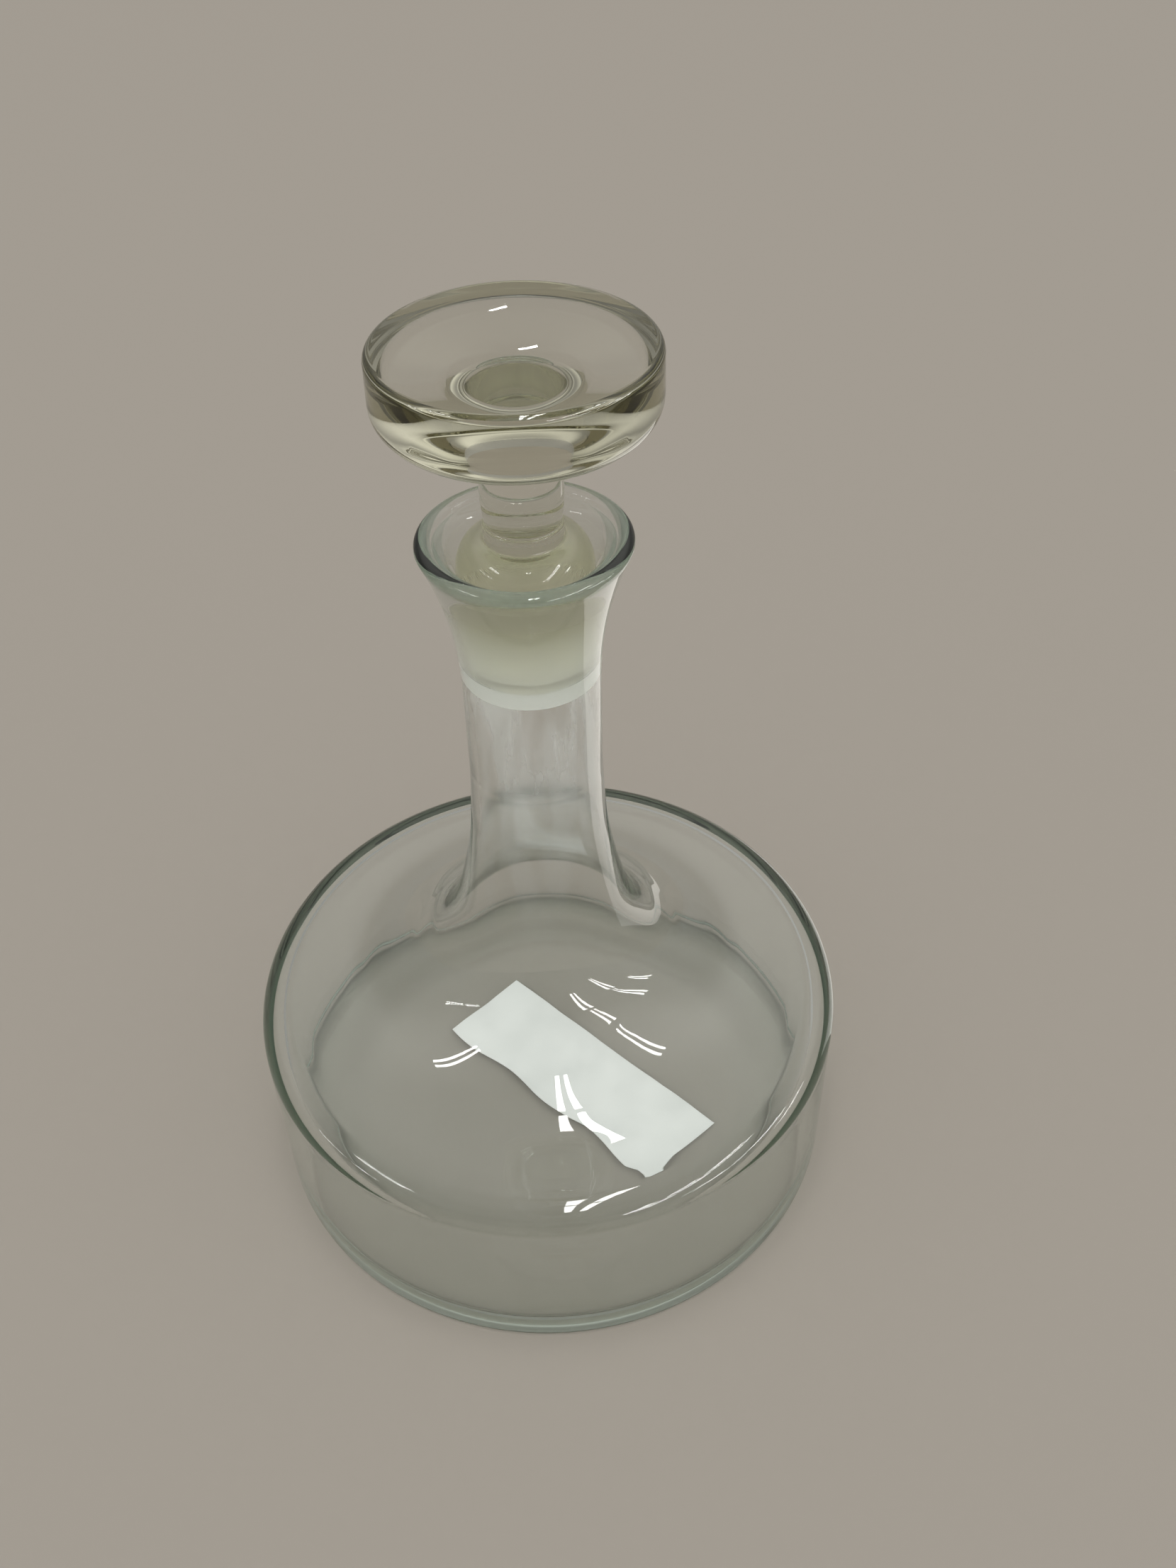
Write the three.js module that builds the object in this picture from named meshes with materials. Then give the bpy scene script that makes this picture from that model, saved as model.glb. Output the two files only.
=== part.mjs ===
import * as THREE from 'three';

// A glass decanter: a low drum-shaped vessel with a long trumpet neck, a solid glass stopper whose plug is
// ground to the neck, and a bare paper strip stuck under the base.
// Millimetres, +Z up, origin at the centre of the ring that the decanter stands on.

// Drum of the vessel
const drumRadius = 82.5;
const drumHeight = 57.8; // to the top of the rim
const rimRoll = 7.2; // outer roll from shoulder to side wall
const footRoll = 2.4; // outer roll from side wall to base
const sideWall = 4.2;
const shoulderGlass = 3.4;
const floorGlass = 4.2;
const rimRollInside = 6;
const floorRollInside = 2;

// Underside: a shallow rise inside the ring that the decanter stands on
const standingRing = 4.1; // width of that ring
const recessDepth = 2.4;
const recessRadius = 53; // flat middle of the rise

// Neck of the vessel, from the shoulder up
const neckGlass = 2.43;
const sweepHeight = 80.2; // from the rim up to where the neck runs straight
const straightNeck = 27;
const trumpetHeight = 40.8;
const lipRadius = 24.7;
const lipGlass = 4;
const lipRoll = 1.6; // height of the rounded lip edge

// The blown curve from the rim (first) up to the neck (last): each point's share of the way from the neck
// out to the rim, and of the sweep's height
const sweepShape = [
  [1, 0],
  [0.756, 0.015],
  [0.619, 0.039],
  [0.499, 0.081],
  [0.362, 0.152],
  [0.243, 0.239],
  [0.14, 0.37],
  [0.072, 0.532],
  [0.019, 0.757],
  [0, 1],
];

// Ground joint: the plug and the bore share one taper
const jointBelowLip = 8.3; // how far the top of the plug's ground length lies below the lip
const plugLength = 30.5; // ground length of the plug
const plugBottomRadius = 14.2;
const jointTaper = 0.054; // radius gained for each millimetre of height
const seatGap = 0.3;
const boreBelowPlug = 2.4; // how far the ground bore runs below the plug
const boreShort = 3.5; // how far the ground bore ends below the top of the plug's ground length
const plugBevel = 1.1;
const plugShoulderRise = 8.3; // from the top of the ground length to the collar

// Collar and stem of the stopper
const collarRadius = 9.1;
const collarHeight = 3.8;
const collarFillet = 0.8;
const collarEdge = 0.5;
const stemRadius = 9.25;
const stemSwell = 6; // height in which the stem widens from the collar's edge to its full radius
const stemLength = 24.4; // from the collar to the lowest level of the disc's wall
const flareHeight = 5.2;
const ringRadius = 14.4; // the crisp ring where the flare of the stem meets the disc

// Disc of the stopper
const discRadius = 30.8;
const discThickness = 17.1;
const discUnderSlope = 10; // degrees that the underside falls towards the stem
const discUnderRoll = 6.7;
const discWallDraft = 0.15; // how much narrower the disc is at its top edge
const discTopRoll = 1.8;

// Paper strip
const paperLength = 87;
const paperWidth = 28.6;
const paperThickness = 0.3;
const paperGap = 0.3; // left between the paper and the glass for the glue
const paperCentre = new THREE.Vector2(8.2, 0.9);
const paperTurn = -46.7; // degrees from +X to the long side
const paperEdgeWave = 0.9; // depth of the uneven cut along one long side
const paperWaves = 2.5;

// Facets
const facetsRound = 60;
const facetsQuarter = 6;

// Levels and radii that follow from the sizes above
const sweepTop = drumHeight + sweepHeight;
const trumpetStart = sweepTop + straightNeck;
const lipHeight = trumpetStart + trumpetHeight;
const plugTop = lipHeight - jointBelowLip;
const plugBottom = plugTop - plugLength;
const collarBase = plugTop + plugShoulderRise;
const collarTop = collarBase + collarHeight;
const discUnder = collarTop + stemLength;
const discTop = discUnder + discThickness;
const blownBoreRadius = plugBottomRadius - boreBelowPlug * jointTaper + seatGap;
const neckRadius = blownBoreRadius + neckGlass;
const sweepReach = drumRadius - rimRoll - neckRadius; // from the neck out to the rim

const point = (radius, height) => new THREE.Vector2(radius, height);

// Radius of the ground taper at a height, as the plug has it
const jointRadius = (height) => plugBottomRadius + (height - plugBottom) * jointTaper;

// Points on an elliptical arc, angles in degrees from the outward direction
function arc(centre, radiusAcross, radiusUp, fromAngle, toAngle, steps) {
  const points = [];
  for (let i = 0; i <= steps; i++) {
    const angle = THREE.MathUtils.degToRad(fromAngle + ((toAngle - fromAngle) * i) / steps);
    points.push(point(centre.x + radiusAcross * Math.cos(angle), centre.y + radiusUp * Math.sin(angle)));
  }
  return points;
}

// Points on an S-shaped slope that is level at both ends, without the first and the last
function easedSlope(from, to, steps) {
  const points = [];
  for (let i = 1; i < steps; i++) {
    const share = i / steps;
    const eased = (1 - Math.cos(Math.PI * share)) / 2;
    points.push(point(from.x + (to.x - from.x) * share, from.y + (to.y - from.y) * eased));
  }
  return points;
}

// Revolves a profile of (radius, height) points that runs up the outside, about the vertical axis
function revolve(profile) {
  const geometry = new THREE.LatheGeometry(profile, facetsRound);
  geometry.rotateX(Math.PI / 2);
  return geometry;
}

function glassMaterial(color) {
  return new THREE.MeshStandardMaterial({
    color,
    roughness: 0.05,
    metalness: 0,
    transparent: true,
    opacity: 0.45,
  });
}

// Underside, standing ring, outer wall and rim, from the axis to the foot of the sweep
function drumOutside() {
  const footCentre = point(drumRadius - footRoll, footRoll);
  const rimCentre = point(drumRadius - rimRoll, drumHeight - rimRoll);
  const recessEdge = point(recessRadius, recessDepth);
  const ringEdge = point(footCentre.x - standingRing, 0);
  return [
    point(0, recessDepth),
    recessEdge,
    ...easedSlope(recessEdge, ringEdge, facetsQuarter),
    ringEdge,
    ...arc(footCentre, footRoll, footRoll, -90, 0, 3),
    ...arc(rimCentre, rimRoll, rimRoll, 0, 90, facetsQuarter),
  ];
}

// Points up the sweep from the rim to the neck, each sunk square to the surface by a depth that goes evenly
// from depthAtRim to depthAtNeck
function sweepPoints(depthAtRim, depthAtNeck) {
  const curve = new THREE.SplineCurve();
  for (const [out, up] of sweepShape) {
    curve.points.push(point(neckRadius + out * sweepReach, drumHeight + up * sweepHeight));
  }
  const steps = 2 * (sweepShape.length - 1);
  const points = [];
  for (let i = 0; i <= steps; i++) {
    const place = curve.getPoint(i / steps);
    const along = curve.getTangent(i / steps);
    const depth = depthAtRim + ((depthAtNeck - depthAtRim) * i) / steps;
    points.push(point(place.x - along.y * depth, place.y + along.x * depth));
  }
  return points;
}

// Outer curve of the trumpet: a circular arc that leaves the neck upright and ends at the lip
function trumpetOutside() {
  const rise = trumpetHeight - lipRoll;
  const spread = lipRadius - neckRadius;
  const bend = (rise * rise + spread * spread) / (2 * spread);
  const endAngle = THREE.MathUtils.radToDeg(Math.asin(rise / bend));
  const centre = point(neckRadius + bend, trumpetStart);
  return arc(centre, bend, bend, 180, 180 - endAngle, facetsQuarter);
}

// Rounded lip, the funnel of the mouth, and the ground bore down to where the blown bore begins
function mouthInside() {
  const lipCentre = point(lipRadius - lipGlass / 2, lipHeight - lipRoll);
  const lipInnerRadius = lipRadius - lipGlass;
  const boreTop = plugTop - boreShort;
  const boreTopRadius = jointRadius(boreTop) + seatGap;
  const funnelCentre = point(lipInnerRadius, boreTop);
  const funnelAcross = lipInnerRadius - boreTopRadius;
  const funnelRise = lipCentre.y - boreTop;
  return [
    ...arc(lipCentre, lipGlass / 2, lipRoll, 0, 180, facetsQuarter).slice(1),
    ...arc(funnelCentre, funnelAcross, funnelRise, 90, 180, facetsQuarter).slice(1),
    point(blownBoreRadius, plugBottom - boreBelowPlug),
  ];
}

// Inner face of the sweep as far as the inner roll, the side wall inside and the floor, back to the axis
function drumInside() {
  const wallInside = drumRadius - sideWall;
  const floorTop = recessDepth + floorGlass;
  const rimCentre = point(wallInside - rimRollInside, drumHeight - shoulderGlass - rimRollInside);
  const floorCentre = point(wallInside - floorRollInside, floorTop + floorRollInside);
  const sweepInside = sweepPoints(shoulderGlass, neckGlass).reverse();
  return [
    ...sweepInside.filter((place) => place.x < rimCentre.x),
    ...arc(rimCentre, rimRollInside, rimRollInside, 90, 0, 4),
    ...arc(floorCentre, floorRollInside, floorRollInside, 0, -90, 3),
    point(0, floorTop),
  ];
}

function makeVessel() {
  const profile = [
    ...drumOutside(),
    ...sweepPoints(0, 0).slice(1),
    ...trumpetOutside(),
    ...mouthInside(),
    ...drumInside(),
  ];
  const vessel = new THREE.Mesh(revolve(profile), glassMaterial(0xb9c2b6));
  vessel.name = 'decanter_vessel';
  return vessel;
}

// Ground plug with a bevelled lower edge and a rounded shoulder that ends at the collar's fillet
function plugProfile() {
  const bevelTop = plugBottom + plugBevel;
  const shoulderCentre = point(collarRadius + collarFillet, plugTop);
  const shoulderAcross = jointRadius(plugTop) - shoulderCentre.x;
  return [
    point(0, plugBottom),
    point(plugBottomRadius - plugBevel, plugBottom),
    point(jointRadius(bevelTop), bevelTop),
    ...arc(shoulderCentre, shoulderAcross, plugShoulderRise, 0, 90, facetsQuarter),
  ];
}

// The sloping underside of the disc leaves its large roll here
function underRollStart() {
  const slope = THREE.MathUtils.degToRad(discUnderSlope);
  const radius = discRadius - discUnderRoll * (1 - Math.sin(slope));
  return point(radius, discUnder + discUnderRoll * (1 - Math.cos(slope)));
}

// Collar with a rounded edge, the slightly swelling stem, and the flare that ends in a ring under the disc
function stemProfile() {
  const filletCentre = point(collarRadius + collarFillet, collarBase + collarFillet);
  const edgeCentre = point(collarRadius - collarEdge, collarTop - collarEdge);
  const slopeStart = underRollStart();
  const slopeDrop = (slopeStart.x - ringRadius) * Math.tan(THREE.MathUtils.degToRad(discUnderSlope));
  const flareCentre = point(ringRadius, slopeStart.y - slopeDrop - flareHeight);
  return [
    ...arc(filletCentre, collarFillet, collarFillet, 270, 180, 3).slice(1),
    ...arc(edgeCentre, collarEdge, collarEdge, 0, 90, 3),
    point(stemRadius, collarTop + stemSwell),
    ...arc(flareCentre, ringRadius - stemRadius, flareHeight, 180, 90, facetsQuarter),
  ];
}

// Disc: large roll under, slightly drafted wall, small roll at the flat top
function discProfile() {
  const underCentre = point(discRadius - discUnderRoll, discUnder + discUnderRoll);
  const topCentre = point(discRadius - discWallDraft - discTopRoll, discTop - discTopRoll);
  return [
    ...arc(underCentre, discUnderRoll, discUnderRoll, discUnderSlope - 90, 0, facetsQuarter),
    ...arc(topCentre, discTopRoll, discTopRoll, 0, 90, 3),
    point(0, discTop),
  ];
}

function makeStopper() {
  const profile = [...plugProfile(), ...stemProfile(), ...discProfile()];
  const stopper = new THREE.Mesh(revolve(profile), glassMaterial(0xc6c8a8));
  stopper.name = 'stopper';
  return stopper;
}

// Thin strip with square ends and one long side cut a little unevenly
function makePaper() {
  const outline = new THREE.Shape();
  const halfLength = paperLength / 2;
  const halfWidth = paperWidth / 2;
  const steps = 24;
  outline.moveTo(-halfLength, halfWidth);
  for (let i = 0; i <= steps; i++) {
    const along = i / steps;
    const wave = paperEdgeWave * Math.sin(2 * Math.PI * paperWaves * along);
    outline.lineTo(-halfLength + paperLength * along, -halfWidth - wave);
  }
  outline.lineTo(halfLength, halfWidth);
  const geometry = new THREE.ExtrudeGeometry(outline, { depth: paperThickness, bevelEnabled: false });
  const material = new THREE.MeshStandardMaterial({ color: 0xeceee9, roughness: 0.8, metalness: 0 });
  const paper = new THREE.Mesh(geometry, material);
  paper.position.set(paperCentre.x, paperCentre.y, recessDepth - paperGap - paperThickness);
  paper.rotation.z = THREE.MathUtils.degToRad(paperTurn);
  paper.name = 'paper_strip';
  return paper;
}

const decanter = new THREE.Group();
decanter.name = 'decanter';
decanter.add(makeVessel(), makeStopper(), makePaper());

export default decanter;
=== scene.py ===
import math

import bpy
import numpy as np
from mathutils import Matrix, Vector


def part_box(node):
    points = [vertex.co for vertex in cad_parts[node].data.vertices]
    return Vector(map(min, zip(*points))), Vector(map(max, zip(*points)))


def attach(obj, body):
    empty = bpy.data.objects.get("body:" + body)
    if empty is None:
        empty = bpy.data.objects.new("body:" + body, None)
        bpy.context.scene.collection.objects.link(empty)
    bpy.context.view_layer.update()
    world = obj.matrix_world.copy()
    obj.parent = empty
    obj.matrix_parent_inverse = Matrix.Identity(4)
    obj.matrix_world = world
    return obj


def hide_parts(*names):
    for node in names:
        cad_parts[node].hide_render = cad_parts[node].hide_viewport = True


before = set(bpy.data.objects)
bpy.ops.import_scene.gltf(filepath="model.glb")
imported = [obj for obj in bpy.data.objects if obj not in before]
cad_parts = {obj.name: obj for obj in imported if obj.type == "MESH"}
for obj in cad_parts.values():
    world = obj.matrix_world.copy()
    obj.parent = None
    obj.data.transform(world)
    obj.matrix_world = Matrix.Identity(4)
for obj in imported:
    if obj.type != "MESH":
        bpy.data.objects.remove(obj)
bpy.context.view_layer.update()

mm = 0.001

# The photograph's viewpoint, with the object's axis at x = y = 0.
viewpoint = {
    "imageHeight": 2212,
    "focalPixels": 2100,
    "back": 280.2 * mm,      # in front of the axis, along -Y
    "height": 388.8 * mm,
    "pitch": 42.76,          # degrees down
    "turn": 2.64,            # degrees to the right
    "roll": -1.33,
}


def makeCamera():
    pitch = math.radians(viewpoint["pitch"])
    turn = math.radians(viewpoint["turn"])
    roll = math.radians(viewpoint["roll"])
    ahead = Vector((math.sin(turn) * math.cos(pitch), math.cos(turn) * math.cos(pitch), -math.sin(pitch)))
    right = Vector((math.cos(turn), -math.sin(turn), 0.0))
    up = right.cross(ahead)
    rolledRight = math.cos(roll) * right + math.sin(roll) * up
    rolledUp = math.cos(roll) * up - math.sin(roll) * right
    lens = bpy.data.cameras.new("photoCamera")
    lens.sensor_width = 36.0
    lens.lens = viewpoint["focalPixels"] / viewpoint["imageHeight"] * lens.sensor_width
    lens.clip_start = 0.01
    camera = bpy.data.objects.new("photoCamera", lens)
    turned = Matrix((rolledRight, rolledUp, -ahead)).transposed().to_4x4()
    camera.matrix_world = Matrix.Translation((0.0, -viewpoint["back"], viewpoint["height"])) @ turned
    bpy.context.scene.collection.objects.link(camera)
    bpy.context.scene.camera = camera


makeCamera()
print("camera stands at the photograph's viewpoint")


# Profiles: arrays of radius and height in metres, from the axis up the outside and back to the axis.

def arc(centreRadius, centreHeight, across, up, fromDegrees, toDegrees, steps):
    # An ellipse's quarter or part: centre plus (across * cos, up * sin) of an evenly stepped angle.
    angle = np.radians(np.linspace(fromDegrees, toDegrees, steps + 1))
    return np.stack([centreRadius + across * np.cos(angle), centreHeight + up * np.sin(angle)], axis=1)


def line(fromRadius, fromHeight, toRadius, toHeight, steps):
    # Evenly stepped points between two places, both included.
    share = np.linspace(0.0, 1.0, steps + 1)[:, None]
    return np.array([[fromRadius, fromHeight]]) * (1 - share) + np.array([[toRadius, toHeight]]) * share


def easedLine(fromRadius, fromHeight, toRadius, toHeight, steps):
    # Radius goes evenly and height follows half a cosine wave, so both ends run level.
    share = np.linspace(0.0, 1.0, steps + 1)
    eased = 0.5 - 0.5 * np.cos(np.pi * share)
    radius = fromRadius + (toRadius - fromRadius) * share
    return np.stack([radius, fromHeight + (toHeight - fromHeight) * eased], axis=1)


def bowedLine(fromRadius, fromHeight, toRadius, toHeight, bow, steps):
    # A straight line whose radius swells out by bow times half a sine wave.
    share = np.linspace(0.0, 1.0, steps + 1)
    radius = fromRadius + (toRadius - fromRadius) * share + bow * np.sin(np.pi * share)
    return np.stack([radius, fromHeight + (toHeight - fromHeight) * share], axis=1)


def smoothLine(places, steps, depths):
    # Catmull-Rom curve through the places, steps points to each span. With t from 0 to 1 in a span and its
    # neighbours a, b, c, d: point = b + t/2 * lean + t^2/2 * bend + t^3/2 * twist, where lean = c - a,
    # bend = 2a - 5b + 4c - d and twist = 3b - a - 3c + d. The slope of that is the run. Each point is then
    # moved across the run, to its left, by a depth that goes evenly from the first point to the last.
    places = np.concatenate([places[:1], places, places[-1:]])
    a, b, c, d = (places[i:len(places) - 3 + i, None, :] for i in range(4))
    t = np.linspace(0.0, 1.0, steps, endpoint=False)[None, :, None]
    lean, bend, twist = c - a, 2 * a - 5 * b + 4 * c - d, 3 * b - a - 3 * c + d
    spans = b + t / 2 * lean + t ** 2 / 2 * bend + t ** 3 / 2 * twist
    run = lean / 2 + t * bend + t ** 2 * 1.5 * twist
    points = np.concatenate([spans.reshape(-1, 2), places[-1:]])
    run = np.concatenate([run.reshape(-1, 2), places[-1:] - places[-3:-2]])
    run = run / np.linalg.norm(run, axis=1)[:, None]
    depth = np.linspace(depths[0], depths[1], len(points))[:, None]
    return points + depth * np.stack([-run[:, 1], run[:, 0]], axis=1)


def joinStretches(stretches):
    # Puts (points, finish number, unevenness) stretches end to end and drops each point that repeats the
    # one before.
    points = np.concatenate([points for points, finish, wave in stretches])
    finishes = np.concatenate([np.full(len(points), finish) for points, finish, wave in stretches])
    waves = np.concatenate([np.full(len(points), wave) for points, finish, wave in stretches])
    fresh = np.ones(len(points), dtype=bool)
    fresh[1:] = np.linalg.norm(np.diff(points, axis=0), axis=1) > 1e-6
    return points[fresh], finishes[fresh], waves[fresh]


ripples = {
    "waves": (               # share of the unevenness, waves around, turn per metre along, start
        (0.55, 2, 26, 0.6),
        (0.3, 3, -55, 2.1),
        (0.15, 7, 30, 0.0),
    ),
    "calmRadius": 12 * mm,   # the unevenness grows from nothing on the axis to its full size here
    "calmPoints": 4,         # and is smoothed over this many profile points to either side
}


def blownRipple(points, waves, angle):
    # How far each place is pushed along the profile's normal: the sum of share * sin(waves around * angle +
    # turn * distance along the profile + start), times the unevenness there.
    along = np.concatenate([[0.0], np.cumsum(np.linalg.norm(np.diff(points, axis=0), axis=1))])[1:-1, None]
    reach = ripples["calmPoints"]
    window = np.full(2 * reach + 1, 1 / (2 * reach + 1))
    calm = np.convolve(np.pad(waves, reach, mode="edge"), window, mode="valid")
    size = np.minimum(calm, waves)[1:-1, None] * np.minimum(1.0, points[1:-1, 0:1] / ripples["calmRadius"])
    return size * sum(share * np.sin(around * angle + turn * along + start)
                      for share, around, turn, start in ripples["waves"])


# Kinds of finish along a profile, and the face marks that the glass reads.
polished, ground, band, film = 0, 1, 2, 3
zones = {"ground": (ground, band), "band": (band,), "film": (film,)}


def spin(name, points, finishes, waves, around):
    # Surface of revolution: x = radius * cos(angle), y = radius * sin(angle), z = height, over a grid of
    # profile point and angle. The first and last profile points lie on the axis and close the ends.
    angle = np.linspace(0.0, 2 * np.pi, around, endpoint=False)[None, :]
    run = np.gradient(points, axis=0)
    run = run / np.linalg.norm(run, axis=1)[:, None]
    push = blownRipple(points, waves, angle)
    radius = points[1:-1, 0:1] + push * run[1:-1, 1:2]
    height = points[1:-1, 1:2] - push * run[1:-1, 0:1]
    grid = np.stack([radius * np.cos(angle), radius * np.sin(angle), height], axis=2).reshape(-1, 3)
    rings = len(points) - 2
    first = rings * around
    corners = np.concatenate([grid, [[0.0, 0.0, points[0, 1]], [0.0, 0.0, points[-1, 1]]]])
    ring = np.arange(rings - 1)[:, None] * around
    step = np.arange(around)[None, :]
    ahead = (step + 1) % around
    quads = np.stack([ring + step, ring + ahead, ring + around + ahead, ring + around + step], axis=2)
    step, ahead = step[0], ahead[0]
    top = (rings - 1) * around
    startFan = np.stack([np.full(around, first), ahead, step], axis=1)
    endFan = np.stack([np.full(around, first + 1), top + step, top + ahead], axis=1)
    mesh = bpy.data.meshes.new(name)
    faces = quads.reshape(-1, 4).tolist() + startFan.tolist() + endFan.tolist()
    mesh.from_pydata(corners.tolist(), [], faces)
    faceFinish = np.concatenate([
        np.repeat(finishes[1:-2], around),
        np.full(around, finishes[0]),
        np.full(around, finishes[-1]),
    ])
    for zone, number in zones.items():
        mark = mesh.attributes.new(zone, "FLOAT", "FACE")
        mark.data.foreach_set("value", np.isin(faceFinish, number).astype(np.float32))
    mesh.polygons.foreach_set("use_smooth", np.ones(len(mesh.polygons), dtype=bool))
    mesh.update()
    piece = bpy.data.objects.new(name, mesh)
    bpy.context.scene.collection.objects.link(piece)
    return piece


# Finishes

def newMaterial(name):
    material = bpy.data.materials.new(name)
    material.use_nodes = True
    nodes = material.node_tree.nodes
    nodes.clear()
    output = nodes.new("ShaderNodeOutputMaterial")
    shader = nodes.new("ShaderNodeBsdfPrincipled")
    material.node_tree.links.new(shader.outputs["BSDF"], output.inputs["Surface"])
    return material, shader, output


def objectNoise(material, scale, detail, stretch=(1.0, 1.0, 1.0)):
    # Noise over the piece's own coordinates, stretched along an axis where stretch is under 1.
    nodes, links = material.node_tree.nodes, material.node_tree.links
    place = nodes.new("ShaderNodeTexCoord")
    mapping = nodes.new("ShaderNodeMapping")
    mapping.inputs["Scale"].default_value = stretch
    noise = nodes.new("ShaderNodeTexNoise")
    noise.inputs["Scale"].default_value = scale
    noise.inputs["Detail"].default_value = detail
    links.new(place.outputs["Object"], mapping.inputs["Vector"])
    links.new(mapping.outputs["Vector"], noise.inputs["Vector"])
    return noise.outputs["Fac"]


def spread(material, value, low, high, fromLow=0.35, fromHigh=0.65):
    # Brings a 0 to 1 value to the range low to high.
    node = material.node_tree.nodes.new("ShaderNodeMapRange")
    node.inputs["From Min"].default_value = fromLow
    node.inputs["From Max"].default_value = fromHigh
    node.inputs["To Min"].default_value = low
    node.inputs["To Max"].default_value = high
    material.node_tree.links.new(value, node.inputs["Value"])
    return node.outputs["Result"]


def addBump(material, shader, value, strength, distance):
    bump = material.node_tree.nodes.new("ShaderNodeBump")
    bump.inputs["Strength"].default_value = strength
    bump.inputs["Distance"].default_value = distance
    material.node_tree.links.new(value, bump.inputs["Height"])
    material.node_tree.links.new(bump.outputs["Normal"], shader.inputs["Normal"])


def addAbsorption(material, output, color, density):
    absorb = material.node_tree.nodes.new("ShaderNodeVolumeAbsorption")
    absorb.inputs["Color"].default_value = (*color, 1.0)
    absorb.inputs["Density"].default_value = density
    material.node_tree.links.new(absorb.outputs["Volume"], output.inputs["Volume"])


def faceMark(material, name):
    # A number kept on the piece's faces: 1 inside the named zone and 0 outside it.
    node = material.node_tree.nodes.new("ShaderNodeAttribute")
    node.attribute_name = name
    return node.outputs["Fac"]


def blendValues(material, share, first, second):
    # first where share is 0, second where it is 1; each is a number or a node's output.
    node = material.node_tree.nodes.new("ShaderNodeMix")
    for socket, value in (("Factor", share), ("A", first), ("B", second)):
        if isinstance(value, float):
            node.inputs[socket].default_value = value
        else:
            material.node_tree.links.new(value, node.inputs[socket])
    return node.outputs["Result"]


def product(material, first, second):
    node = material.node_tree.nodes.new("ShaderNodeMath")
    node.operation = "MULTIPLY"
    material.node_tree.links.new(first, node.inputs[0])
    material.node_tree.links.new(second, node.inputs[1])
    return node.outputs["Value"]


glassNoise = {               # waves per metre, detail, and how much of that across x, y and z
    "smears": (45.0, 3.0, (1.0, 1.0, 1.0)),
    "streaks": (260.0, 4.0, (1.0, 1.0, 0.08)),
    "haze": (160.0, 4.0, (1.0, 1.0, 0.35)),
    "blotches": (130.0, 6.0, (1.0, 1.0, 0.2)),
    "grain": (2600.0, 2.0, (0.6, 0.6, 1.6)),
}
blotchEdge = (0.42, 0.56)    # noise values between which the film goes from thick to clear


def glassFinish(name, look):
    # One glass for a whole piece. Polished faces have faint smears in the gloss and a slight unevenness.
    # Ground faces are matt and grainy, paler towards their lower end, and band faces palest. The frosting
    # is real, but that paleness is partly a painted glow: the glass lets through less light there, as if
    # more light fell there.
    # Film faces have a dull film that thickens with height between two levels, in upright smears and
    # blotches.
    # The tint lies in the depth.
    material, shader, output = newMaterial(name)
    nodes, links = material.node_tree.nodes, material.node_tree.links
    shader.inputs["IOR"].default_value = look["ior"]
    onGround, onBand, onFilm = (faceMark(material, zone) for zone in ("ground", "band", "film"))
    smears = spread(material, objectNoise(material, *glassNoise["smears"]), *look["roughness"])
    place = nodes.new("ShaderNodeTexCoord")
    split = nodes.new("ShaderNodeSeparateXYZ")
    links.new(place.outputs["Object"], split.inputs["Vector"])
    height = spread(material, split.outputs["Z"], 0.0, 1.0, *look["filmLevels"])
    streaks = spread(material, objectNoise(material, *glassNoise["streaks"]), *look["filmRoughness"])
    haze = spread(material, objectNoise(material, *glassNoise["haze"]), *look["groundRoughness"])
    roughness = blendValues(material, product(material, onFilm, height), smears, streaks)
    links.new(blendValues(material, onGround, roughness, haze), shader.inputs["Roughness"])
    cloudy = objectNoise(material, *glassNoise["blotches"])
    blotches = spread(material, cloudy, *look["filmClearness"], *blotchEdge)
    filmy = blendValues(material, product(material, onFilm, height), 1.0, blotches)
    # Painted glow, partly: ground faces let through less light towards their lower end, and band faces
    # none, so they show paler there as if lit; the frosting itself is real.
    frostAndPaintedGlow = spread(material, split.outputs["Z"], *look["groundClearness"], *look["groundLevels"])
    clearness = blendValues(material, onGround, filmy, frostAndPaintedGlow)
    clearness = blendValues(material, onBand, clearness, look["bandClearness"])
    links.new(clearness, shader.inputs["Transmission Weight"])
    tint = nodes.new("ShaderNodeMix")
    tint.data_type = "RGBA"
    links.new(onGround, tint.inputs["Factor"])
    tint.inputs["A"].default_value = (1.0, 1.0, 1.0, 1.0)
    tint.inputs["B"].default_value = (*look["groundColor"], 1.0)
    links.new(tint.outputs["Result"], shader.inputs["Base Color"])
    waves = objectNoise(material, look["waveScale"], 1.0, look["waveStretch"])
    grain = objectNoise(material, *glassNoise["grain"])
    addBump(material, shader, blendValues(material, onGround, waves, grain), 1.0, look["waveDepth"])
    addAbsorption(material, output, look["depthColor"], look["density"])
    return material


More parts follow.
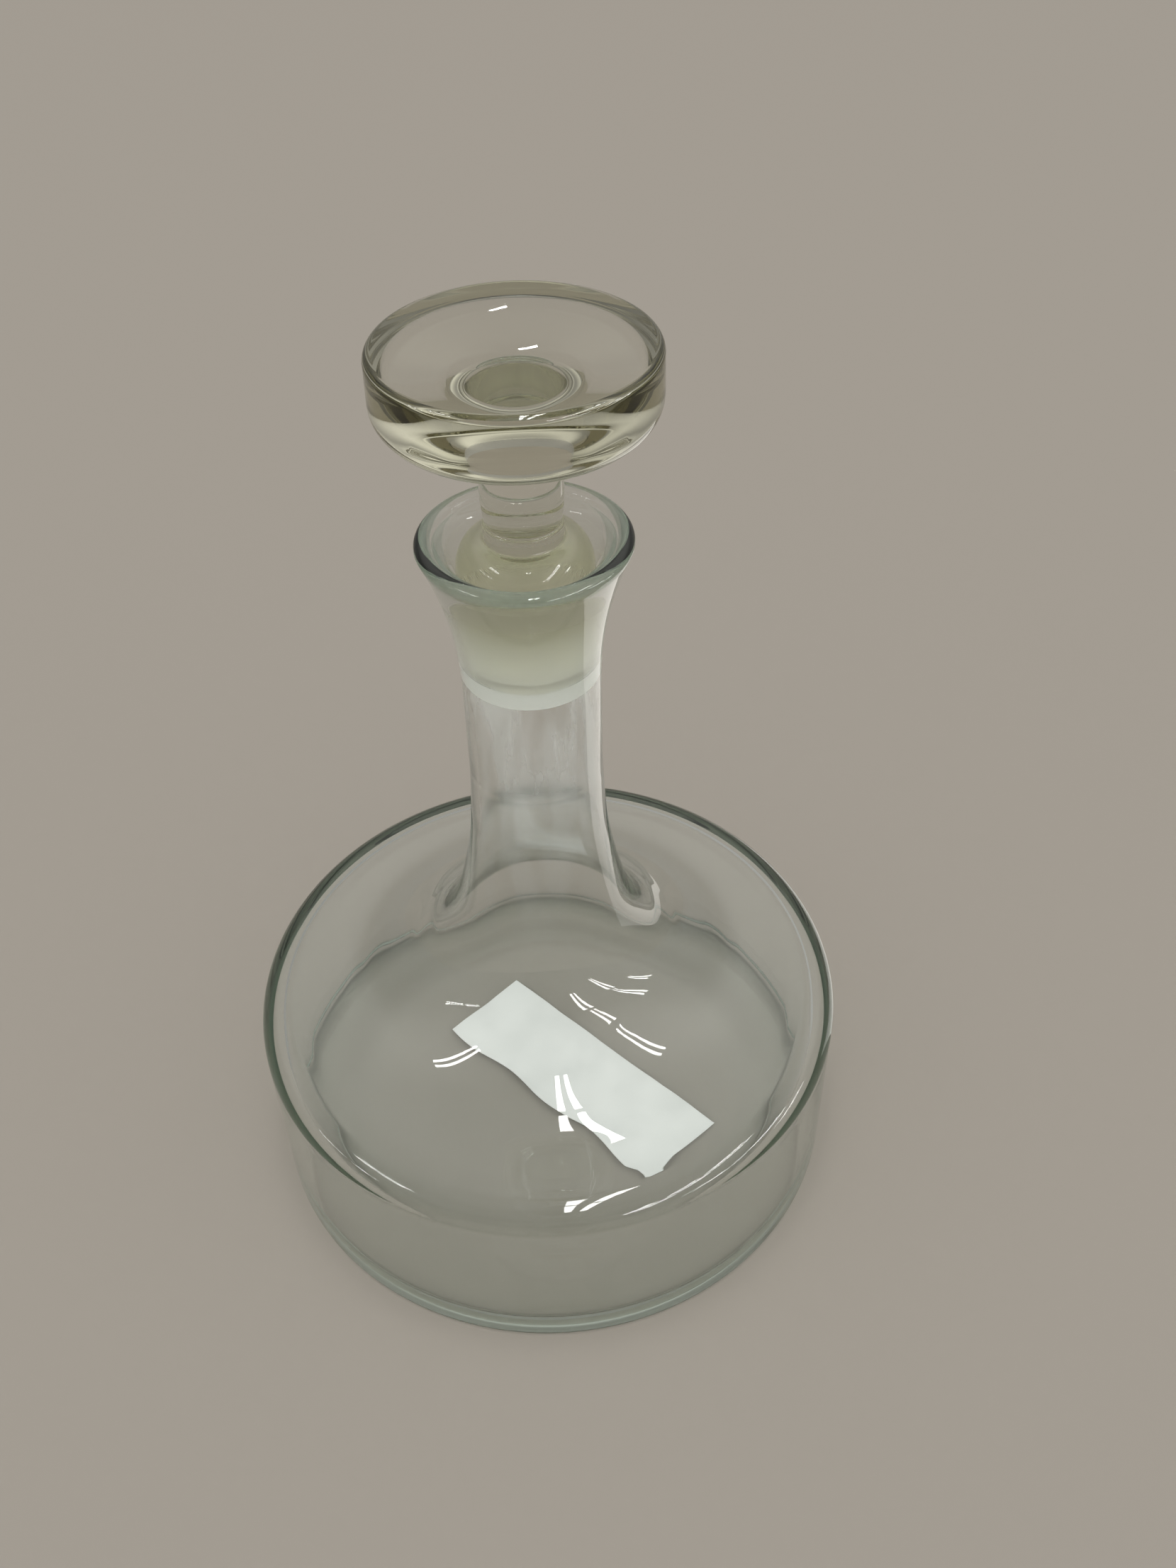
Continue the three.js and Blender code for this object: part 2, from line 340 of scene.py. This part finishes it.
vesselLook = {
    "ior": 1.5,
    "roughness": (0.004, 0.012),
    "filmRoughness": (0.10, 0.22),
    "filmClearness": (0.62, 1.0),          # 0 lets no light through and 1 all of it
    "filmLevels": (90 * mm, 165 * mm),     # heights: no film below the first, full film above the second
    "groundColor": (0.965, 0.96, 0.915),
    "groundRoughness": (0.30, 0.40),
    "groundClearness": (0.6, 1.0),         # at the two ground levels; less clear lower down, partly a painted glow
    "groundLevels": (173 * mm, 192 * mm),
    # the band lets no light through: real frosting, partly a painted bright crescent
    "bandClearness": 0.0,
    "waveScale": 38.0,                     # unevenness of the polished faces: waves per metre
    "waveStretch": (1.0, 1.0, 0.4),
    "waveDepth": 0.03 * mm,
    "depthColor": (0.36, 0.50, 0.385),     # tint that grows with the way through the glass
    "density": 28.0,
}
stopperLook = {
    "ior": 1.5,
    "roughness": (0.0, 0.01),
    "filmRoughness": (0.0, 0.01),
    "filmClearness": (1.0, 1.0),
    "filmLevels": (60 * mm, 105 * mm),
    "groundColor": (0.97, 0.975, 0.93),
    "groundRoughness": (0.30, 0.42),
    # less clear lower down, partly a painted glow, as on the vessel
    "groundClearness": (0.6, 1.0),
    "groundLevels": (173 * mm, 192 * mm),
    "bandClearness": 0.80,
    "waveScale": 60.0,
    "waveStretch": (1.0, 1.0, 1.0),
    "waveDepth": 0.02 * mm,
    "depthColor": (0.57, 0.56, 0.36),
    "density": 18.0,
}
vesselGlass = glassFinish("vesselGlass", vesselLook)
stopperGlass = glassFinish("stopperGlass", stopperLook)
print("glass finishes made")


# Vessel: one blown piece, with the ground bore inside its neck.
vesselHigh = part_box("decanter_vessel")[1]
vessel = {
    "drumRadius": vesselHigh[0],
    "lipHeight": vesselHigh[2],
    "drumHeight": 57.8 * mm,
    "rimRoll": 7.2 * mm,
    "footRoll": 2.4 * mm,
    "sideWall": 4.2 * mm,
    "shoulderGlass": 3.4 * mm,
    "floorGlass": 4.2 * mm,
    "rimRollInside": 6 * mm,
    "floorRollInside": 2 * mm,
    "recessDepth": 2.4 * mm,
    "recessRadius": 53 * mm,
    "recessRamp": 23 * mm,
    "neckGlass": 2.43 * mm,
    "neckRadius": 16.8 * mm,
    "sweepTop": 138 * mm,
    "trumpetStart": 165 * mm,
    "lipRadius": 24.7 * mm,
    "lipGlass": 4.0 * mm,
    "lipRoll": 1.6 * mm,
    "unevenNeck": 0.10 * mm,     # how far the blown inner face swells in and out
    "unevenDrum": 0.05 * mm,
    "around": 256,
}
# The blown curve from the rim up to the neck: shares of the way out to the rim and of the height.
sweepShape = np.array([
    (1, 0), (0.756, 0.015), (0.619, 0.039), (0.499, 0.081), (0.362, 0.152),
    (0.243, 0.239), (0.14, 0.37), (0.072, 0.532), (0.019, 0.757), (0, 1),
])

# Ground joint, shared by the bore and the plug.
joint = {
    "plugBottom": 167 * mm,
    "plugRadius": 14.2 * mm,
    "plugLength": 30.5 * mm,
    "taper": 0.054,
    "seatGap": 0.3 * mm,
    "boreBelowPlug": 2.4 * mm,
    "boreShort": 3.5 * mm,
    "bandTop": 173.5 * mm,       # the brightest, lowest band of the ground bore; real frosting, its brightness partly a painted glow
    "bandLow": 171.2 * mm,
    "plugRound": 6.5 * mm,       # the plug's polished lower end
}


def jointRadius(height):
    # The ground taper: radius grows evenly with height.
    return joint["plugRadius"] + (height - joint["plugBottom"]) * joint["taper"]


def blownBore():
    # Radius of the blown bore, as wide as the taper a little below the plug.
    return jointRadius(joint["plugBottom"] - joint["boreBelowPlug"]) + joint["seatGap"]


def sweepLine(depths):
    # The blown curve in metres, sunk below the outer face by a depth at the rim and another at the neck.
    v = vessel
    reach = v["drumRadius"] - v["rimRoll"] - v["neckRadius"]
    places = sweepShape * (reach, v["sweepTop"] - v["drumHeight"]) + (v["neckRadius"], v["drumHeight"])
    return smoothLine(places, 8, depths)


def outsideStretches():
    # From the axis under the base, round the foot and rim and up the neck to the lip.
    v = vessel
    rimMiddle = v["drumRadius"] - v["rimRoll"]
    rimTop = v["drumHeight"]
    footMiddle = v["drumRadius"] - v["footRoll"]
    rampEnd = v["recessRadius"] + v["recessRamp"]
    rise = v["lipHeight"] - v["lipRoll"] - v["trumpetStart"]
    flare = v["lipRadius"] - v["neckRadius"]
    bend = (rise ** 2 + flare ** 2) / (2 * flare)
    flareEnd = 180 - math.degrees(math.asin(rise / bend))
    return [
        (line(0, v["recessDepth"], v["recessRadius"], v["recessDepth"], 16), polished, 0.0),
        (easedLine(v["recessRadius"], v["recessDepth"], rampEnd, 0, 10), polished, 0.0),
        (line(rampEnd, 0, footMiddle, 0, 4), polished, 0.0),
        (arc(footMiddle, v["footRoll"], v["footRoll"], v["footRoll"], -90, 0, 10), polished, 0.0),
        (line(v["drumRadius"], v["footRoll"], v["drumRadius"], rimTop - v["rimRoll"], 12), polished, 0.0),
        (arc(rimMiddle, rimTop - v["rimRoll"], v["rimRoll"], v["rimRoll"], 0, 90, 20), polished, 0.0),
        (sweepLine((0, 0)), polished, 0.0),
        (line(v["neckRadius"], v["sweepTop"], v["neckRadius"], v["trumpetStart"], 6), polished, 0.0),
        (arc(v["neckRadius"] + bend, v["trumpetStart"], bend, bend, 180, flareEnd, 20), polished, 0.0),
    ]


def mouthStretches():
    # Over the rounded lip, down the funnel and the ground bore to the blown bore.
    v = vessel
    lipEdge = v["lipHeight"] - v["lipRoll"]
    lipInside = v["lipRadius"] - v["lipGlass"]
    boreTop = joint["plugBottom"] + joint["plugLength"] - joint["boreShort"]
    boreTopRadius = jointRadius(boreTop) + joint["seatGap"]
    bandTop = joint["bandTop"]
    bandTopRadius = jointRadius(bandTop) + joint["seatGap"]
    halfLip = v["lipGlass"] / 2
    return [
        (arc(lipInside + halfLip, lipEdge, halfLip, v["lipRoll"], 0, 180, 20), polished, 0.0),
        (arc(lipInside, boreTop, lipInside - boreTopRadius, lipEdge - boreTop, 90, 180, 14), polished, 0.0),
        (line(boreTopRadius, boreTop, bandTopRadius, bandTop, 12), ground, 0.0),
        (line(bandTopRadius, bandTop, blownBore(), joint["bandLow"], 3), band, 0.0),
    ]


def insideStretches():
    # Down the blown bore, out along the shoulder, down the wall and back over the floor to the axis.
    v = vessel
    wall = v["drumRadius"] - v["sideWall"]
    rimRoll, floorRoll = v["rimRollInside"], v["floorRollInside"]
    rimTop = v["drumHeight"] - v["shoulderGlass"]
    floorTop = v["recessDepth"] + v["floorGlass"]
    neckWave, drumWave = v["unevenNeck"], v["unevenDrum"]
    sweep = sweepLine((v["shoulderGlass"], v["neckGlass"]))[::-1]
    return [
        (line(blownBore(), joint["bandLow"], blownBore(), v["sweepTop"], 10), film, neckWave),
        (sweep[sweep[:, 0] < wall - rimRoll], film, neckWave),
        (arc(wall - rimRoll, rimTop - rimRoll, rimRoll, rimRoll, 90, 0, 14), polished, drumWave),
        (line(wall, rimTop - rimRoll, wall, floorTop + floorRoll, 12), polished, drumWave),
        (arc(wall - floorRoll, floorTop + floorRoll, floorRoll, floorRoll, 0, -90, 14), polished, drumWave),
        (line(wall - floorRoll, floorTop, 0, floorTop, 20), polished, drumWave),
    ]


def makeVessel():
    points, finishes, waves = joinStretches(outsideStretches() + mouthStretches() + insideStretches())
    piece = spin("vesselGlass", points, finishes, waves, vessel["around"])
    piece.data.materials.append(vesselGlass)
    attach(piece, "vessel")
    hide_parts("decanter_vessel")


makeVessel()
print("vessel blown")


# Stopper: ground plug, collar, flaring stem and disc in one solid piece.
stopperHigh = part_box("stopper")[1]
stopper = {
    "discRadius": stopperHigh[0],
    "discTop": stopperHigh[2],
    "discThickness": 17.1 * mm,
    "discTopRoll": 1.8 * mm,
    "discUnderRoll": 6.7 * mm,
    "discDraft": 0.15 * mm,
    "underSlope": 10,            # degrees that the underside falls towards the stem
    "ringRadius": 14.4 * mm,     # where the stem's flare meets the underside in a crisp ring
    "flareHeight": 5.8 * mm,
    "flareTurn": 55,             # degrees of the ellipse that the flare follows, short of level
    "stemRadius": 9.25 * mm,
    "swellHeight": 6 * mm,       # the stem reaches its full radius this far above the collar
    "swell": 0.12 * mm,
    "collarRadius": 9.1 * mm,
    "collarHeight": 3.8 * mm,
    "collarEdge": 0.5 * mm,
    "collarFillet": 0.8 * mm,
    "shoulderRise": 8.3 * mm,
    "around": 192,
}


def plugStretches():
    # From the axis under the plug, round its polished end, up its ground side and over to the collar.
    s = stopper
    bottom = joint["plugBottom"]
    plugTop = bottom + joint["plugLength"]
    roundTop = bottom + joint["plugRound"]
    roundMiddle = jointRadius(roundTop) - joint["plugRound"]
    middle = s["collarRadius"] + s["collarFillet"]
    across = jointRadius(plugTop) - middle
    return [
        (line(0, bottom, roundMiddle, bottom, 6), polished, 0.0),
        (arc(roundMiddle, roundTop, joint["plugRound"], joint["plugRound"], 270, 360, 14), polished, 0.0),
        (line(jointRadius(roundTop), roundTop, jointRadius(plugTop), plugTop, 12), ground, 0.0),
        (arc(middle, plugTop, across, s["shoulderRise"], 0, 90, 16), polished, 0.0),
    ]


def ringPlace():
    # Where the sloping underside leaves the large roll, and how high it is at the stem's ring.
    s = stopper
    slope = math.radians(s["underSlope"])
    rollMiddle = s["discTop"] - s["discThickness"] + s["discUnderRoll"]
    rollRadius = s["discRadius"] - s["discUnderRoll"] + s["discUnderRoll"] * math.sin(slope)
    rollHeight = rollMiddle - s["discUnderRoll"] * math.cos(slope)
    return rollRadius, rollHeight, rollHeight - (rollRadius - s["ringRadius"]) * math.tan(slope)


def stemStretches():
    # Fillet, upright collar with a rounded edge, the nearly straight stem, and the flare under the disc.
    s = stopper
    collarBase = joint["plugBottom"] + joint["plugLength"] + s["shoulderRise"]
    collarTop = collarBase + s["collarHeight"]
    fillet, edge = s["collarFillet"], s["collarEdge"]
    neckRadius, filletTop = s["collarRadius"] - edge, collarBase + fillet
    ringHeight = ringPlace()[2]
    flareLow, turn = ringHeight - s["flareHeight"], math.radians(s["flareTurn"])
    flareAcross = (s["ringRadius"] - s["stemRadius"]) / (1 - math.cos(turn))
    flareMiddle, flareEnd = s["stemRadius"] + flareAcross, 180 - s["flareTurn"]
    flareUp = s["flareHeight"] / math.sin(turn)
    swellTop = collarTop + s["swellHeight"]
    return [
        (arc(s["collarRadius"] + fillet, filletTop, fillet, fillet, 270, 180, 6), polished, 0.0),
        (line(s["collarRadius"], filletTop, s["collarRadius"], collarTop - edge, 4), polished, 0.0),
        (arc(neckRadius, collarTop - edge, edge, edge, 0, 90, 6), polished, 0.0),
        (bowedLine(neckRadius, collarTop, s["stemRadius"], swellTop, s["swell"], 8), polished, 0.0),
        (line(s["stemRadius"], swellTop, s["stemRadius"], flareLow, 4), polished, 0.0),
        (arc(flareMiddle, flareLow, flareAcross, flareUp, 180, flareEnd, 20), polished, 0.0),
    ]


def discStretches():
    # Sloping underside, large roll, drafted wall, small roll and the flat top back to the axis.
    s = stopper
    under = s["discTop"] - s["discThickness"]
    underRoll, topRoll = s["discUnderRoll"], s["discTopRoll"]
    rollMiddle, wallTop = s["discRadius"] - underRoll, s["discRadius"] - s["discDraft"]
    rollStart = s["underSlope"] - 90
    rollRadius, rollHeight, ringHeight = ringPlace()
    return [
        (line(s["ringRadius"], ringHeight, rollRadius, rollHeight, 6), polished, 0.0),
        (arc(rollMiddle, under + underRoll, underRoll, underRoll, rollStart, 0, 24), polished, 0.0),
        (line(s["discRadius"], under + underRoll, wallTop, s["discTop"] - topRoll, 4), polished, 0.0),
        (arc(wallTop - topRoll, s["discTop"] - topRoll, topRoll, topRoll, 0, 90, 12), polished, 0.0),
        (line(wallTop - topRoll, s["discTop"], 0, s["discTop"], 10), polished, 0.0),
    ]


def makeStopper():
    points, finishes, waves = joinStretches(plugStretches() + stemStretches() + discStretches())
    piece = spin("stopperGlassPiece", points, finishes, waves, stopper["around"])
    piece.data.materials.append(stopperGlass)
    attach(piece, "stopper")
    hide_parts("stopper")


makeStopper()
print("stopper seated in the neck")


# Paper strip: bare, glued flat under the base.
paper = {
    "length": 87 * mm,
    "width": 28.6 * mm,
    "centre": (8.2 * mm, 0.9 * mm),
    "turn": -46.7,
    "edgeWave": 0.9 * mm,
    "waves": 2.5,
    "alongSteps": 96,
    "acrossSteps": 28,
    "darkTint": (0.85, 0.845, 0.835),
    "paleTint": (0.93, 0.92, 0.91),
    "roughness": 0.85,
    "cloudNoise": (90.0, 5.0),   # waves per metre and detail
    "fibreNoise": (900.0, 3.0),
    "fibreRelief": 0.03 * mm,
}


def paperFinish():
    # Matt paper: cloudy fibres in the colour, fine fibre relief.
    material, shader, output = newMaterial("barePaper")
    nodes, links = material.node_tree.nodes, material.node_tree.links
    clouds = objectNoise(material, *paper["cloudNoise"])
    tint = nodes.new("ShaderNodeMix")
    tint.data_type = "RGBA"
    tint.inputs["A"].default_value = (*paper["darkTint"], 1.0)
    tint.inputs["B"].default_value = (*paper["paleTint"], 1.0)
    links.new(spread(material, clouds, 0.0, 1.0), tint.inputs["Factor"])
    links.new(tint.outputs["Result"], shader.inputs["Base Color"])
    shader.inputs["Roughness"].default_value = paper["roughness"]
    fibres = objectNoise(material, *paper["fibreNoise"])
    addBump(material, shader, fibres, 0.4, paper["fibreRelief"])
    return material


def makePaper():
    # A grid over the strip's length and width, mapped to two faces: the edge position runs from one long
    # side, which waves a little, to the straight one; the rim between the faces closes the strip.
    p = paper
    low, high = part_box("paper_strip")
    along = np.linspace(-0.5, 0.5, p["alongSteps"] + 1)[:, None] * np.ones(p["acrossSteps"] + 1)[None, :]
    across = np.linspace(0.0, 1.0, p["acrossSteps"] + 1)[None, :] * np.ones(p["alongSteps"] + 1)[:, None]
    wavySide = -p["width"] / 2 - p["edgeWave"] * np.sin(2 * np.pi * p["waves"] * (along + 0.5))
    x = along * p["length"]
    y = wavySide + (p["width"] / 2 - wavySide) * across
    turn = math.radians(p["turn"])
    placedX = p["centre"][0] + x * math.cos(turn) - y * math.sin(turn)
    placedY = p["centre"][1] + x * math.sin(turn) + y * math.cos(turn)
    top = np.stack([placedX, placedY, np.full_like(x, high[2])], axis=2).reshape(-1, 3)
    under = np.stack([placedX, placedY, np.full_like(x, low[2])], axis=2).reshape(-1, 3)
    columns = p["acrossSteps"] + 1
    count = len(top)
    rowStart = np.arange(p["alongSteps"])[:, None] * columns
    corner = (rowStart + np.arange(p["acrossSteps"])[None, :]).reshape(-1)
    upper = np.stack([corner, corner + columns, corner + columns + 1, corner + 1], axis=1)
    lower = upper[:, ::-1] + count
    border = np.concatenate([
        np.arange(columns - 1),
        np.arange(columns - 1, count - 1, columns),
        np.arange(count - 1, count - columns, -1),
        np.arange(count - columns, 0, -columns),
    ])
    following = np.roll(border, -1)
    rim = np.stack([border, following, following + count, border + count], axis=1)
    mesh = bpy.data.meshes.new("paperStripPiece")
    corners = np.concatenate([top, under])
    mesh.from_pydata(corners.tolist(), [], np.concatenate([upper, lower, rim]).tolist())
    mesh.update()
    piece = bpy.data.objects.new("paperStripPiece", mesh)
    bpy.context.scene.collection.objects.link(piece)
    mesh.materials.append(paperFinish())
    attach(piece, "vessel")
    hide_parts("paper_strip")


makePaper()
print("paper strip in place")


# Studio: plain pale floor, soft even light, rows of ceiling tubes for the streaks on the glass.
studio = {
    "floorSize": 8.0,
    "floorDrop": 0.1 * mm,   # the floor lies this much below the foot, so that the two faces don't coincide
    "floorColor": (0.32, 0.29, 0.25),
    "lightLow": 0.75,        # plain light that falls on matt surfaces, at the horizon and overhead
    "lightTop": 1.12,
    "lightNear": 1.5,        # times this on the side of the camera
    "lightFar": 0.7,         # and this on the far side
    "roomLow": 0.36,         # the room that glass shows, at the horizon
    "roomHigh": 0.95,        # and high up the walls
    "ceiling": 0.55,         # times this at the ceiling
    "roomFront": 0.55,       # times this towards the camera
    "viewerShade": 0.5,      # and once more times this close around the camera
    "roomLeft": 0.85,        # times this at the left
    "roomRight": 1.15,       # and this at the right
    "roomTint": (1.0, 0.975, 0.93, 1.0),
    "lightRise": (0.0, 0.9),         # shares of straight up between which it goes from low to top
    "lightTurn": (-0.9, 0.9),        # shares of straight away from the camera: near light to far light
    "roomRise": (0.36, 0.66),        # up: low to high
    "ceilingRise": (0.72, 0.95),     # up: walls to ceiling
    "frontTurn": (-0.8, 0.3),        # away: front to full
    "sideTurn": (-0.8, 0.8),         # to the right: left to right
    "viewerWide": (0.25, 0.55),      # aside: camera's shade to none
    "viewerTurn": (-0.55, -0.15),    # away: camera's shade to none
}
tubes = {
    "height": 2.36,
    "glare": 22.0,
    "lines": (               # from x, y to x, y in metres, a tube's width, and the distance to its twin
        (-5.0, -2.8, -5.0, -1.6, 0.1, 0.2),
        (-5.0, -1.4, -5.0, -0.2, 0.1, 0.2),
        (-2.0, -1.3, -2.0, -0.15, 0.08, 0.17),
        (0.15, -1.4, 0.15, -0.35, 0.08, 0.17),
        (0.15, -0.23, 0.15, 0.83, 0.08, 0.17),
        (1.95, -0.3, 2.3, -1.65, 0.08, 0.2),
        (2.35, -1.85, 2.75, -3.7, 0.14, 0.3),
        (2.8, -4.2, 3.7, -9.6, 0.3, 0.6),
        (4.9, -0.6, 8.2, -5.0, 0.2, 0.4),
        (8.6, -5.6, 15.0, -18.0, 0.5, 1.0),
        (8.0, 0.2, 15.5, -3.9, 0.3, 0.6),
        (-0.03, 4.39, 0.03, 4.41, 0.013, 0.3),
    ),
}


def makeFloor():
    half, level = studio["floorSize"] / 2, -studio["floorDrop"]
    corners = [(-half, -half, level), (half, -half, level), (half, half, level), (-half, half, level)]
    mesh = bpy.data.meshes.new("studioFloor")
    mesh.from_pydata(corners, [], [(0, 1, 2, 3)])
    floor = bpy.data.objects.new("studioFloor", mesh)
    bpy.context.scene.collection.objects.link(floor)
    material, shader, output = newMaterial("paleFloor")
    shader.inputs["Base Color"].default_value = (*studio["floorColor"], 1.0)
    shader.inputs["Roughness"].default_value = 0.95
    shader.inputs["Specular IOR Level"].default_value = 0.1
    mesh.materials.append(material)


def skyRamp(world, value, between, start, end):
    # Goes smoothly from start to end as the value goes from the first to the second number of between.
    ramp = world.node_tree.nodes.new("ShaderNodeMapRange")
    ramp.interpolation_type = "SMOOTHSTEP"
    ramp.inputs["From Min"].default_value = between[0]
    ramp.inputs["From Max"].default_value = between[1]
    ramp.inputs["To Min"].default_value = start
    ramp.inputs["To Max"].default_value = end
    world.node_tree.links.new(value, ramp.inputs["Value"])
    return ramp.outputs["Result"]


def worldProduct(world, first, *others):
    result = first
    for other in others:
        node = world.node_tree.nodes.new("ShaderNodeMath")
        node.operation = "MULTIPLY"
        world.node_tree.links.new(result, node.inputs[0])
        world.node_tree.links.new(other, node.inputs[1])
        result = node.outputs["Value"]
    return result


def makeWorld():
    # Light that has met a matt surface finds a plain bright sky, brighter on the camera's side. Glass alone
    # shows a dimmer, warmer room: brightest high up the far walls, dimmer at the ceiling and dark around
    # the camera.
    world = bpy.data.worlds.new("studioWorld")
    bpy.context.scene.world = world
    world.use_nodes = True
    world.cycles.sampling_method = "NONE"
    nodes, links = world.node_tree.nodes, world.node_tree.links
    nodes.clear()
    place = nodes.new("ShaderNodeTexCoord")
    split = nodes.new("ShaderNodeSeparateXYZ")
    links.new(place.outputs["Generated"], split.inputs["Vector"])
    right, away, up = split.outputs["X"], split.outputs["Y"], split.outputs["Z"]
    light = nodes.new("ShaderNodeBackground")
    light.inputs["Color"].default_value = (1.0, 1.0, 1.0, 1.0)
    brightness = worldProduct(
        world,
        skyRamp(world, up, studio["lightRise"], studio["lightLow"], studio["lightTop"]),
        skyRamp(world, away, studio["lightTurn"], studio["lightNear"], studio["lightFar"]),
    )
    links.new(brightness, light.inputs["Strength"])
    aside = nodes.new("ShaderNodeMath")
    aside.operation = "ABSOLUTE"
    links.new(right, aside.inputs[0])
    viewer = worldProduct(
        world,
        skyRamp(world, aside.outputs["Value"], studio["viewerWide"], 1.0, 0.0),
        skyRamp(world, away, studio["viewerTurn"], 1.0, 0.0),
    )
    room = nodes.new("ShaderNodeBackground")
    room.inputs["Color"].default_value = studio["roomTint"]
    strength = worldProduct(
        world,
        skyRamp(world, up, studio["roomRise"], studio["roomLow"], studio["roomHigh"]),
        skyRamp(world, up, studio["ceilingRise"], 1.0, studio["ceiling"]),
        skyRamp(world, away, studio["frontTurn"], studio["roomFront"], 1.0),
        skyRamp(world, right, studio["sideTurn"], studio["roomLeft"], studio["roomRight"]),
        skyRamp(world, viewer, (0.0, 1.0), 1.0, studio["viewerShade"]),
    )
    links.new(strength, room.inputs["Strength"])
    path = nodes.new("ShaderNodeLightPath")
    chosen = nodes.new("ShaderNodeMixShader")
    output = nodes.new("ShaderNodeOutputWorld")
    links.new(path.outputs["Diffuse Depth"], chosen.inputs["Fac"])
    links.new(room.outputs["Background"], chosen.inputs[1])
    links.new(light.outputs["Background"], chosen.inputs[2])
    links.new(chosen.outputs["Shader"], output.inputs["Surface"])


def areaLight(name, place, turned, width, length, power, color=(1.0, 1.0, 1.0)):
    # A flat lamp that shines down unless it is turned over.
    lamp = bpy.data.lights.new(name, "AREA")
    lamp.shape = "RECTANGLE"
    lamp.size = width
    lamp.size_y = length
    lamp.energy = power
    lamp.color = color
    holder = bpy.data.objects.new(name, lamp)
    holder.location = place
    holder.rotation_euler = turned
    bpy.context.scene.collection.objects.link(holder)
    return holder


def onlyMirrored(holder, deepest=3):
    # The lamp shows in polished surfaces, but throws no light, so the glass casts no bright swirls. A
    # reflection that has gone through more than deepest faces of glass doesn't show it either.
    lamp = holder.data
    lamp.use_nodes = True
    nodes, links = lamp.node_tree.nodes, lamp.node_tree.links
    path = nodes.new("ShaderNodeLightPath")
    both = nodes.new("ShaderNodeMath")
    both.operation = "MULTIPLY"
    limits = (("Diffuse Depth", 0.5), ("Transmission Depth", deepest + 0.5))
    for number, (depth, limit) in enumerate(limits):
        under = nodes.new("ShaderNodeMath")
        under.operation = "LESS_THAN"
        under.inputs[1].default_value = limit
        links.new(path.outputs[depth], under.inputs[0])
        links.new(under.outputs["Value"], both.inputs[number])
    links.new(both.outputs["Value"], nodes["Emission"].inputs["Strength"])
    holder.visible_diffuse = False
    holder.visible_camera = False
    holder.visible_transmission = False


def makeTubes():
    # Each line stands for a lamp with twin tubes that face straight down.
    for number, (fromX, fromY, toX, toY, width, apart) in enumerate(tubes["lines"]):
        length = math.hypot(toX - fromX, toY - fromY)
        aside = (-(toY - fromY) / length, (toX - fromX) / length)
        for twin, side in enumerate((-0.5, 0.5)):
            x = (fromX + toX) / 2 + side * apart * aside[0]
            y = (fromY + toY) / 2 + side * apart * aside[1]
            turned = (0.0, 0.0, math.atan2(-(toX - fromX), toY - fromY))
            power = tubes["glare"] * math.pi * width * length
            name = f"tube{number}{'ab'[twin]}"
            onlyMirrored(areaLight(name, (x, y, tubes["height"]), turned, width, length, power))


sideGlow = {
    "place": (0.19, 0.14, 0.001),
    "width": 0.16,
    "length": 0.26,
    "power": 0.13,
}


def makeGlow():
    # A faint patch of light that lies on the floor to the right and faces up, which only the glass mirrors.
    g = sideGlow
    faceUp = (0.0, math.pi, 0.0)
    tint = studio["roomTint"][:3]
    onlyMirrored(areaLight("sideGlow", g["place"], faceUp, g["width"], g["length"], g["power"], tint))


makeFloor()
makeWorld()
makeTubes()
makeGlow()
print("studio lit")

scene = bpy.context.scene
scene.view_settings.view_transform = "Standard"
glassBounces = 48        # light runs a long way inside the glass walls
scene.cycles.max_bounces = glassBounces
scene.cycles.glossy_bounces = glassBounces
scene.cycles.transmission_bounces = glassBounces
scene.cycles.transparent_max_bounces = 16
scene.cycles.blur_glossy = 0.0
